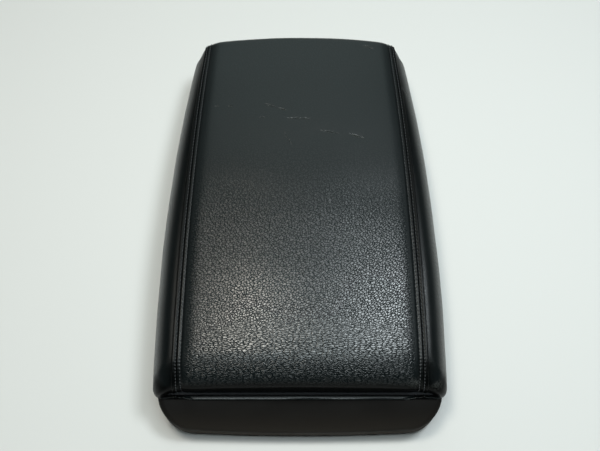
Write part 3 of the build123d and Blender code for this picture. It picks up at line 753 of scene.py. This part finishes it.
def stitch_mesh(name, wrap, seam, side):
    """Short threads that dip into the leather at both ends, all along both rows of one seam."""
    draws = np.random.default_rng(seed + side)
    radius = seam.thread / 2
    count = int(wrap.run[-1] / seam.stitch_pitch)
    along = np.linspace(-0.5, 0.5, stitch_rings)
    around = np.linspace(0, 2 * pi, stitch_sides, endpoint=False)
    rings = []
    for row in (seam.inner_row, seam.outer_row):
        middle = (np.arange(count) + 0.5) * seam.stitch_pitch
        run = middle[:, None] + along[None, :] * seam.stitch_pitch * stitch_share
        stray = draws.normal(0, stitch_stray, (count, 1))
        stray = stray + draws.normal(0, stitch_skew, (count, 1)) * along
        points = wrap.seam_points(wrap.at(run), np.ones_like(run), row + stray)
        normals = wrap.form.normal(points)
        floor = seam_height(seam, np.full_like(run, row), run) + sunk(seam, row)
        arch = 1 - (2 * np.abs(along)) ** stitch_arch
        lift = floor + radius * (stitch_rise * arch - stitch_sink)
        points = points + normals * lift[..., None]
        ahead = np.gradient(points, axis=1)
        ahead /= np.linalg.norm(ahead, axis=-1, keepdims=True)
        across = np.cross(ahead, normals)
        round_end = np.sqrt(1 - (2 * along * stitch_taper) ** 2)
        thick = radius * (stitch_end + (1 - stitch_end) * round_end)
        ring = across[:, :, None] * np.cos(around)[:, None]
        ring = ring + normals[:, :, None] * np.sin(around)[:, None]
        rings.append(points[:, :, None] + ring * thick[None, :, None, None])
    points = np.concatenate(rings) * [side, 1, 1]
    total, stops, sides = points.shape[:3]
    index = np.arange(total * stops * sides).reshape(total, stops, sides)
    turned = np.roll(index, -1, axis=2)
    walls = np.stack([index[:, :-1], turned[:, :-1], turned[:, 1:], index[:, 1:]], axis=-1)
    caps = np.concatenate([index[:, 0, ::-1], index[:, -1]])
    mesh = bpy.data.meshes.new(name)
    mesh.from_pydata(points.reshape(-1, 3).tolist(), [], walls.reshape(-1, 4).tolist() + caps.tolist())
    work = bmesh.new()
    work.from_mesh(mesh)
    bmesh.ops.recalc_face_normals(work, faces=work.faces)
    work.to_mesh(mesh)
    work.free()
    mesh.shade_smooth()
    return mesh


class ARMREST_OT_foam_pad(bpy.types.Operator):
    """Makes the moulded foam under the leather"""

    bl_idname = "armrest.foam_pad"
    bl_label = "Foam pad"

    def execute(self, context):
        sizes = context.scene.armrest_cover
        seam = context.scene.armrest_seam
        form = PadForm(sizes, inset=crown_z - foam_high.z + foam_clearance)
        heart = np.array([0, mid_y, (foam_low.z + foam_high.z) / 2])
        reach = np.array([sizes.front_width / 2, rear_y - mid_y, foam_high.z - heart[2]])
        work = bmesh.new()
        bmesh.ops.create_cube(work, size=2)
        bmesh.ops.subdivide_edges(work, edges=work.edges, cuts=foam_cuts, use_grid_fill=True)
        ways = np.array([v.co for v in work.verts]) * reach
        ways /= np.linalg.norm(ways, axis=1, keepdims=True)
        points = form.cast(heart, ways)
        down = np.minimum((foam_low.z - heart[2]) / np.minimum(ways[:, 2], -weld), 1.0)
        floor = heart + ways * down[:, None]
        below = points[:, 2] < foam_low.z
        points[below] = floor[below]
        beside = np.abs(points[:, 0]) - seam_half(seam, points[:, 1])
        pressed = np.where(below, 0, seam.press * bell(beside, 0, seam.press_width))
        points = points - form.normal(points) * pressed[:, None]
        for vert, point in zip(work.verts, points):
            vert.co = point
        mesh = bpy.data.meshes.new("foam_cushion")
        work.to_mesh(mesh)
        work.free()
        mesh.shade_smooth()
        piece = add_piece("foam_cushion", mesh, moulded_foam(context.scene), "foam_pad")
        return {"FINISHED"}


def wear_mask(scene, tree, place):
    """Scuffs as long thin patches that flecks break up."""
    patch_rim, patch_core = 1.0, 0.3
    fleck_none, fleck_full = 0.42, 0.6
    worn = 0.0
    for (x0, y0), (x1, y1), width in SCUFFS:
        patch = put(
            tree,
            "ShaderNodeMapping",
            {
                "Vector": place,
                "Location": ((x0 + x1) / 2, (y0 + y1) / 2, crown_z),
                "Rotation": (0, 0, atan2(y1 - y0, x1 - x0)),
                "Scale": (hypot(x1 - x0, y1 - y0), width, crown_z - rim_z),
            },
            vector_type="TEXTURE",
        )
        away = put(tree, "ShaderNodeVectorMath", patch.outputs[:1], operation="LENGTH")
        inside = put(tree, "ShaderNodeMapRange", (away.outputs["Value"], patch_rim, patch_core))
        worn = put(tree, "ShaderNodeMath", (worn, inside.outputs[0]), operation="MAXIMUM").outputs[0]
    flecks = put(
        tree,
        "ShaderNodeTexNoise",
        {"Vector": place, "Scale": 1 / scene.armrest_grain.ragged, "Detail": 3.0},
    )
    broken = put(tree, "ShaderNodeMapRange", (flecks.outputs[0], fleck_none, fleck_full))
    return put(tree, "ShaderNodeMath", (worn, broken.outputs[0]), operation="MULTIPLY").outputs[0]


def pebbled_leather(scene):
    """Pigmented cowhide with an embossed pebble grain: a black, slightly glossy coat that glints on
    every pebble, drawn into fine wrinkles where it is stretched over the front edge, with nicks that
    show the paler hide."""
    valley_roughness, pebble_roughness = 0.45, 0.3
    valley_shine, pebble_shine, rubbed_shine, furrow_shine = 0.02, 0.52, 0.42, 0.08
    mottle_low, mottle_high = 0.3, 0.7
    least_handled, most_handled = 0.62, 1.38
    pebble_stray = 0.8
    pore_strength = 0.3
    grain = scene.armrest_grain
    colours = scene.armrest_colours
    material, tree = new_material("pebbled_cowhide")
    place = put(tree, "ShaderNodeTexCoord").outputs["Object"]
    across, along, up = put(tree, "ShaderNodeSeparateXYZ", (place,)).outputs
    over_edge = put(tree, "ShaderNodeMath", (along, up), operation="ADD").outputs[0]
    hide = put(tree, "ShaderNodeCombineXYZ", (across, over_edge)).outputs[0]
    wander = put(
        tree,
        "ShaderNodeTexNoise",
        {"Vector": hide, "Scale": 1 / (grain.pebble * 2), "Detail": 2.0},
        noise_dimensions="2D",
    )
    uneven = put(
        tree,
        "ShaderNodeVectorMath",
        (wander.outputs["Color"], (grain.pebble * pebble_stray,) * 3, hide),
        operation="MULTIPLY_ADD",
    ).outputs[0]
    cells = []
    for size, turn, rise in (
        ((grain.pebble_length, grain.pebble, 1), grain.pebble_turn, 1.0),
        ((grain.crease_length, grain.crease, 1), 0.0, grain.crease_height / grain.pebble_height),
    ):
        laid = put(
            tree,
            "ShaderNodeMapping",
            {"Vector": uneven, "Rotation": (0, 0, turn), "Scale": size},
            vector_type="TEXTURE",
        )
        edges = put(
            tree,
            "ShaderNodeTexVoronoi",
            {"Vector": laid.outputs[0], "Scale": 1.0, "Randomness": 1.0},
            voronoi_dimensions="2D",
            feature="DISTANCE_TO_EDGE",
        )
        rim = grain.valley / grain.pebble
        cell = put(
            tree,
            "ShaderNodeMapRange",
            (edges.outputs["Distance"], 0.0, rim, 0.0, rise),
            interpolation_type="SMOOTHSTEP",
        )
        cells.append(cell.outputs[0])
    border = put(tree, "ShaderNodeMath", (wander.outputs[0], wrinkle_stray, along), operation="MULTIPLY_ADD")
    stretch = put(
        tree,
        "ShaderNodeMapRange",
        (border.outputs[0], front_y + wrinkle_start, front_y + wrinkle_full),
        interpolation_type="SMOOTHSTEP",
    ).outputs[0]
    relief = put(tree, "ShaderNodeMix", {0: stretch, 2: cells[0], 3: cells[1]}).outputs[0]
    rubbed = put(
        tree,
        "ShaderNodeMapRange",
        (along, rubbed_from, rubbed_to, 1.0, rubbed_share),
        interpolation_type="SMOOTHSTEP",
    ).outputs[0]
    left = put(tree, "ShaderNodeAttribute", attribute_name="grain").outputs["Fac"]
    dull = put(tree, "ShaderNodeAttribute", attribute_name="dull").outputs["Fac"]
    strength = put(tree, "ShaderNodeMath", (left, rubbed), operation="MULTIPLY").outputs[0]
    worn = wear_mask(scene, tree, place)
    pores = put(tree, "ShaderNodeTexNoise", {"Vector": place, "Scale": 1 / grain.pore, "Detail": 2.0})
    inputs = {"Height": relief, "Distance": grain.pebble_height, "Strength": strength}
    slope = put(tree, "ShaderNodeBump", inputs).outputs[0]
    for height, depth, share, nicked in (
        (pores.outputs[0], grain.pore_depth, pore_strength, False),
        (worn, grain.nick, 1.0, True),
    ):
        inputs = {"Height": height, "Distance": depth, "Strength": share, "Normal": slope}
        slope = put(tree, "ShaderNodeBump", inputs, invert=nicked).outputs[0]
    sheen = put(tree, "ShaderNodeMapRange", (relief, 0.0, 1.0, valley_shine, pebble_shine)).outputs[0]
    mottle = put(
        tree,
        "ShaderNodeTexNoise",
        {"Vector": hide, "Scale": 1 / grain.mottle, "Detail": 0.0},
        noise_dimensions="2D",
    ).outputs[0]
    handled = (mottle, mottle_low, mottle_high, least_handled, most_handled)
    handled = put(tree, "ShaderNodeMapRange", handled).outputs[0]
    glint = put(tree, "ShaderNodeMath", (sheen, handled), operation="MULTIPLY").outputs[0]
    polish = put(tree, "ShaderNodeMix", {0: strength, 2: rubbed_shine, 3: glint}).outputs[0]
    shine = put(tree, "ShaderNodeMix", {0: dull, 2: polish, 3: furrow_shine}).outputs[0]
    rough = put(tree, "ShaderNodeMapRange", (relief, 0.0, 1.0, valley_roughness, pebble_roughness))
    tone = linear(colours.leather)
    # Painted shade darkens the colour by the dull share; worn scuffs show the paler hide
    for share, hex_code in ((dull, colours.leather_painted_shade), (worn, colours.leather_worn)):
        tones = {0: share, 6: tone, 7: linear(hex_code)}
        tone = put(tree, "ShaderNodeMix", tones, data_type="RGBA").outputs[2]
    coat = put(tree, "ShaderNodeBsdfPrincipled", {
        "Base Color": tone,
        "Roughness": rough.outputs[0],
        "IOR": 1.55,
        "Specular IOR Level": shine,
        "Normal": slope,
    })
    put(tree, "ShaderNodeOutputMaterial", coat.outputs[:1])
    return material


def bonded_thread(scene):
    """Bonded polyester thread: twisted and waxed, black but painted grey as a painted highlight that stands
    in for its glints, with a soft glint along each stitch.
    """
    grain = scene.armrest_grain
    material, tree = new_material("bonded_polyester_thread")
    place = put(tree, "ShaderNodeTexCoord").outputs["Object"]
    twist = put(tree, "ShaderNodeTexNoise", {"Vector": place, "Scale": 1 / grain.twist, "Detail": 1.0})
    inputs = {"Height": twist.outputs[0], "Distance": grain.twist_depth, "Strength": 0.4}
    # Painted highlight: grey base colour standing in for the glints of the black thread
    coat = put(tree, "ShaderNodeBsdfPrincipled", {
        "Base Color": linear(scene.armrest_colours.thread),
        "Roughness": 0.5,
        "IOR": 1.5,
        "Specular IOR Level": 0.6,
        "Normal": put(tree, "ShaderNodeBump", inputs).outputs[0],
    })
    put(tree, "ShaderNodeOutputMaterial", coat.outputs[:1])
    return material


def moulded_foam(scene):
    """Cold-cured polyurethane foam: a pale, dull skin with open cells."""
    grain = scene.armrest_grain
    material, tree = new_material("cold_cured_foam")
    place = put(tree, "ShaderNodeTexCoord").outputs["Object"]
    cells = put(tree, "ShaderNodeTexVoronoi", {"Vector": place, "Scale": 1 / grain.foam_cell})
    inputs = {"Height": cells.outputs["Distance"], "Distance": grain.foam_depth, "Strength": 0.6}
    coat = put(tree, "ShaderNodeBsdfPrincipled", {
        "Base Color": linear(scene.armrest_colours.foam),
        "Roughness": 0.9,
        "IOR": 1.4,
        "Normal": put(tree, "ShaderNodeBump", inputs).outputs[0],
    })
    put(tree, "ShaderNodeOutputMaterial", coat.outputs[:1])
    return material


def grained_plastic(scene, name, hex_code, roughness, painted_reflection_hex=None):
    """Injection-moulded plastic or rubber with an etched grain: dull and even in the light. Given a second
    colour, it is painted darker at the top as painted shade and paler towards the lower edge as a painted
    reflection of the floor."""
    patch_low, patch_high = 0.35, 0.65
    smoothest, roughest = roughness - 0.05, roughness + 0.07
    grain = scene.armrest_grain
    material, tree = new_material(name)
    place = put(tree, "ShaderNodeTexCoord").outputs["Object"]
    etched = put(
        tree,
        "ShaderNodeTexNoise",
        {"Vector": place, "Scale": 1 / grain.shell_grain, "Detail": 2.0, "Roughness": 0.6},
    )
    inputs = {"Height": etched.outputs[0], "Distance": grain.shell_depth, "Strength": 0.5}
    slope = put(tree, "ShaderNodeBump", inputs)
    patches = put(tree, "ShaderNodeTexNoise", {"Vector": place, "Scale": 1 / grain.patch, "Detail": 3.0})
    handled = (patches.outputs[0], patch_low, patch_high, smoothest, roughest)
    tone = linear(hex_code)
    # Painted shade and painted reflection: darker at the top under the leather, paler towards the lower edge
    if painted_reflection_hex:
        height = put(tree, "ShaderNodeSeparateXYZ", (place,)).outputs["Z"]
        low = put(tree, "ShaderNodeMapRange", (height, rim_z, 0.0)).outputs[0]
        tones = {0: low, 6: tone, 7: linear(painted_reflection_hex)}
        tone = put(tree, "ShaderNodeMix", tones, data_type="RGBA").outputs[2]
    coat = put(tree, "ShaderNodeBsdfPrincipled", {
        "Base Color": tone,
        "Roughness": put(tree, "ShaderNodeMapRange", handled).outputs[0],
        "IOR": 1.52,
        "Specular IOR Level": 0.15,
        "Normal": slope.outputs[0],
    })
    put(tree, "ShaderNodeOutputMaterial", coat.outputs[:1])
    return material


def worked_metal(scene, name, hex_code, roughness, metallic):
    """Steel pressings and wire: zinc plate with a faint drawn streak, or an even black coat."""
    smoothest, roughest = roughness - 0.1, roughness + 0.12
    grain = scene.armrest_grain
    material, tree = new_material(name)
    place = put(tree, "ShaderNodeTexCoord").outputs["Object"]
    size = (1 / grain.streak_length, 1 / grain.streak, 1 / grain.streak)
    streak = put(tree, "ShaderNodeMapping", {"Vector": place, "Scale": size}).outputs[0]
    drawn = put(tree, "ShaderNodeTexNoise", {"Vector": streak, "Scale": 1.0, "Detail": 2.0}).outputs[0]
    rough = put(tree, "ShaderNodeMapRange", (drawn, 0.0, 1.0, smoothest, roughest))
    inputs = {"Height": drawn, "Distance": grain.streak_depth, "Strength": 0.25}
    coat = put(tree, "ShaderNodeBsdfPrincipled", {
        "Base Color": linear(hex_code),
        "Metallic": metallic,
        "Roughness": rough.outputs[0],
        "Normal": put(tree, "ShaderNodeBump", inputs).outputs[0],
    })
    put(tree, "ShaderNodeOutputMaterial", coat.outputs[:1])
    return material


def finish(material, *nodes):
    """Gives solids of the frame their material."""
    for node in nodes:
        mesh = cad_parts[node].data
        mesh.materials.clear()
        mesh.materials.append(material)


class ARMREST_OT_mouldings(bpy.types.Operator):
    """Finishes the shell, the carrier plate, the latch mouldings, the bushes and the rubber stops"""

    bl_idname = "armrest.mouldings"
    bl_label = "Mouldings"

    def execute(self, context):
        scene = context.scene
        colours = scene.armrest_colours
        # The shell is painted darker at its top as shade and paler at its lower edge as a reflection
        shell = grained_plastic(scene, "grained_abs", colours.shell, 0.8, colours.shell_painted_reflection)
        finish(shell, "lower_shell")
        finish(grained_plastic(scene, "plain_polypropylene", colours.carrier, 0.55), "pad_carrier")
        latch = grained_plastic(scene, "glass_filled_nylon", colours.carrier, 0.45)
        finish(latch, "latch_housing", "latch_lever")
        bushes = grained_plastic(scene, "natural_acetal", colours.acetal, 0.4)
        finish(bushes, "hinge_bush_left", "hinge_bush_right")
        rubber = grained_plastic(scene, "moulded_rubber", colours.rubber, 0.75)
        for end in ("front", "rear"):
            finish(rubber, f"bump_stop_{end}_left", f"bump_stop_{end}_right")
        return {"FINISHED"}


class ARMREST_OT_metalwork(bpy.types.Operator):
    """Finishes the hinge brackets, pins, clip, spring, screws and staples"""

    bl_idname = "armrest.metalwork"
    bl_label = "Metalwork"

    def execute(self, context):
        scene = context.scene
        colours = scene.armrest_colours
        coated = worked_metal(scene, "black_coated_steel", colours.coated_steel, 0.45, 0.0)
        finish(coated, "hinge_lid_bracket", "hinge_base_bracket")
        plated = worked_metal(scene, "zinc_plated_steel", colours.zinc, 0.35, 1.0)
        finish(
            plated, "hinge_pin", "hinge_pin_clip", "hinge_screws", "shell_screws",
            "latch_pin", "latch_spring", "latch_screws", "cover_staples",
        )
        return {"FINISHED"}


class ARMREST_OT_studio(bpy.types.Operator):
    """Sets up the pale floor, the soft lamps and the camera"""

    bl_idname = "armrest.studio"
    bl_label = "Studio"

    def execute(self, context):
        scene = context.scene
        studio = scene.armrest_studio
        scene.view_settings.view_transform = "Standard"
        bpy.ops.mesh.primitive_plane_add(size=studio.floor_side)
        floor = context.object
        floor.name = "studio_floor"
        material, tree = new_material("pale_painted_board")
        paint = {"Base Color": linear(scene.armrest_colours.floor), "Roughness": 0.8}
        coat = put(tree, "ShaderNodeBsdfPrincipled", paint)
        put(tree, "ShaderNodeOutputMaterial", coat.outputs[:1])
        floor.data.materials.append(material)
        for name, (place, target, size, hex_code) in LAMPS.items():
            lamp(name, place, target, size, getattr(studio, name), hex_code)
        scene.world = dim_room(scene)
        camera = bpy.data.objects.new("photo_camera", bpy.data.cameras.new("photo_camera"))
        scene.collection.objects.link(camera)
        camera.location = (0, studio.camera_y, studio.camera_z)
        camera.rotation_euler = (pi / 2 - studio.camera_pitch, 0, 0)
        camera.data.sensor_fit = "HORIZONTAL"
        camera.data.sensor_width = studio.camera_sensor
        camera.data.lens = studio.camera_lens
        camera.data.clip_start = 0.01
        scene.camera = camera
        return {"FINISHED"}


def dim_room(scene):
    """Surroundings that are pale near the horizon, dim overhead and dimmer on the camera's side."""
    ceiling_from = 0.4
    near_end, far_end = -0.7, 0.1
    studio = scene.armrest_studio
    world = bpy.data.worlds.new("dim_room")
    world.use_nodes = True
    tree = world.node_tree
    way = put(tree, "ShaderNodeTexCoord").outputs["Generated"]
    heading = put(tree, "ShaderNodeSeparateXYZ", (way,)).outputs
    shares = []
    for inputs in (
        (heading["Z"], 0.0, ceiling_from, studio.horizon, studio.ceiling),
        (heading["Y"], near_end, far_end, studio.near_side, 1.0),
    ):
        share = put(tree, "ShaderNodeMapRange", inputs, interpolation_type="SMOOTHSTEP")
        shares.append(share.outputs[0])
    backdrop = tree.nodes["Background"]
    backdrop.inputs["Color"].default_value = linear(scene.armrest_colours.room)
    glow = put(tree, "ShaderNodeMath", shares, operation="MULTIPLY")
    tree.links.new(glow.outputs[0], backdrop.inputs["Strength"])
    return world


def lamp(name, place, target, size, power, hex_code):
    """Softbox of a width and a depth that faces a point."""
    data = bpy.data.lights.new(name, "AREA")
    data.shape = "RECTANGLE"
    data.size, data.size_y = size
    data.energy = power
    data.color = linear(hex_code)[:3]
    box = bpy.data.objects.new(name, data)
    bpy.context.scene.collection.objects.link(box)
    box.location = place
    box.visible_camera = False
    way = np.array(target) - np.array(place)
    box.rotation_euler = (atan2(hypot(way[0], way[1]), -way[2]), 0, atan2(way[0], -way[1]) + pi)


class ARMREST_PT_sidebar(bpy.types.Panel):
    """Sizes, colours and steps of the armrest"""

    bl_label = "Armrest"
    bl_idname = "ARMREST_PT_sidebar"
    bl_space_type = "VIEW_3D"
    bl_region_type = "UI"
    bl_category = "Armrest"

    def draw(self, context):
        for group in GROUPS:
            box = self.layout.box()
            settings = getattr(context.scene, group)
            for key in settings.bl_rna.properties.keys():
                if key not in ("rna_type", "name"):
                    box.prop(settings, key)
        for step in STEPS:
            self.layout.operator(step.bl_idname)


GROUPS = {
    "armrest_cover": CoverSizes,
    "armrest_seam": SeamSizes,
    "armrest_colours": FinishColours,
    "armrest_grain": GrainSizes,
    "armrest_studio": StudioSettings,
}
STEPS = (
    ARMREST_OT_leather_cover,
    ARMREST_OT_stitching,
    ARMREST_OT_foam_pad,
    ARMREST_OT_mouldings,
    ARMREST_OT_metalwork,
    ARMREST_OT_studio,
)


def register():
    """Adds the settings, steps and panel."""
    for kind in (*GROUPS.values(), *STEPS, ARMREST_PT_sidebar):
        bpy.utils.register_class(kind)
    for name, kind in GROUPS.items():
        setattr(bpy.types.Scene, name, bpy.props.PointerProperty(type=kind))


def unregister():
    """Takes the settings, steps and panel away again."""
    for name in GROUPS:
        delattr(bpy.types.Scene, name)
    for kind in (ARMREST_PT_sidebar, *reversed(STEPS), *GROUPS.values()):
        bpy.utils.unregister_class(kind)


def main():
    """Makes the armrest step by step."""
    register()
    for step in STEPS:
        family, name = step.bl_idname.split(".")
        getattr(getattr(bpy.ops, family), name)()


if __name__ == "__main__":
    main()
